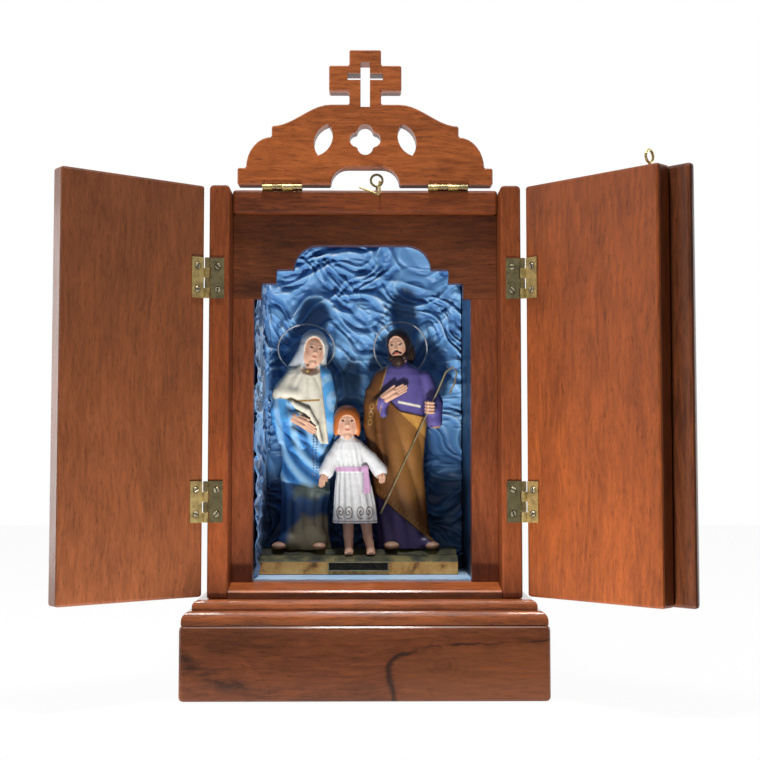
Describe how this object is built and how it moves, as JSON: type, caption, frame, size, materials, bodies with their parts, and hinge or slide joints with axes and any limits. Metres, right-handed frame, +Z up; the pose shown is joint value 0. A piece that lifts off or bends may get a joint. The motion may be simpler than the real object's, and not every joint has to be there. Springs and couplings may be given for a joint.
{
  "type": "folding oratory shrine",
  "caption": "Wooden table oratory shrine with two doors, a folding pierced crest, and a figure group in a satin-lined niche.",
  "frame": {"origin": "centre of the plinth's underside", "axes": "+Z up, -Y toward the viewer at the front, +X to the viewer's right"},
  "size_m": [0.5557, 0.2847, 0.6105],
  "materials": {
    "mahogany": "reddish brown stained wood, satin varnish",
    "dark_mahogany": "plain back board",
    "blue_satin": "light blue satin",
    "brass": "plain brass",
    "ground": "painted plaster ground",
    "dark_plate": "bare dark plate",
    "blue_plaster": "painted plaster",
    "brown_plaster": "painted plaster",
    "white_plaster": "painted plaster",
    "silver_wire": "bright wire"
  },
  "bodies": {
    "cabinet": {"plinth_front": "mahogany", "plinth_back": "mahogany", "plinth_left": "mahogany", "plinth_right": "mahogany", "plinth_bottom": "mahogany", "base_cap": "mahogany", "side_board_left": "mahogany", "side_board_right": "mahogany", "top_board": "mahogany", "floor_board": "mahogany", "arch_rail": "mahogany", "stile_left": "mahogany", "stile_right": "mahogany", "sill": "mahogany", "back_panel": "dark_mahogany", "lining_back": "blue_satin", "lining_left": "blue_satin", "lining_right": "blue_satin", "lining_floor": "blue_satin", "lining_top": "blue_satin", "left_door_upper_hinge_fixed_leaf": "brass", "left_door_upper_hinge_pin": "brass", "left_door_lower_hinge_fixed_leaf": "brass", "left_door_lower_hinge_pin": "brass", "right_door_upper_hinge_fixed_leaf": "brass", "right_door_upper_hinge_pin": "brass", "right_door_lower_hinge_fixed_leaf": "brass", "right_door_lower_hinge_pin": "brass", "crest_left_hinge_fixed_leaf": "brass", "crest_left_hinge_pin": "brass", "crest_right_hinge_fixed_leaf": "brass", "crest_right_hinge_pin": "brass", "hook_eye": "brass", "staff": "brass", "statue_base": "ground", "nameplate": "dark_plate", "mary_figure": "blue_plaster", "joseph_figure": "brown_plaster", "child_figure": "white_plaster", "mary_halo": "silver_wire", "joseph_halo": "silver_wire"},
    "left_door": {"left_door": "mahogany", "left_door_upper_hinge_moving_leaf": "brass", "left_door_lower_hinge_moving_leaf": "brass"},
    "right_door": {"right_door": "mahogany", "astragal": "mahogany", "door_eye": "brass", "right_door_upper_hinge_moving_leaf": "brass", "right_door_lower_hinge_moving_leaf": "brass"},
    "crest": {"crest": "mahogany", "crest_left_hinge_moving_leaf": "brass", "crest_right_hinge_moving_leaf": "brass"},
    "hook": {"hook": "brass"}
  },
  "joints": [
    {"name": "left_door_hinge", "type": "hinge", "parent": "cabinet", "child": "left_door", "pos_m": [-0.1467, -0.0802, 0.2827], "axis": [0, 0, -1], "range_deg": [-142.5, 40.5]},
    {"name": "right_door_hinge", "type": "hinge", "parent": "cabinet", "child": "right_door", "pos_m": [0.1467, -0.0802, 0.2827], "axis": [0, 0, 1], "range_deg": [-134, 49]},
    {"name": "crest_fold", "type": "hinge", "parent": "cabinet", "child": "crest", "pos_m": [0, -0.0557, 0.4772], "axis": [1, 0, 0], "range_deg": [0, 180]},
    {"name": "hook_swing", "type": "hinge", "parent": "cabinet", "child": "hook", "pos_m": [0.0138, -0.0485, 0.48015], "axis": [-1, 0, 0], "range_deg": [0, 40]}
  ]
}
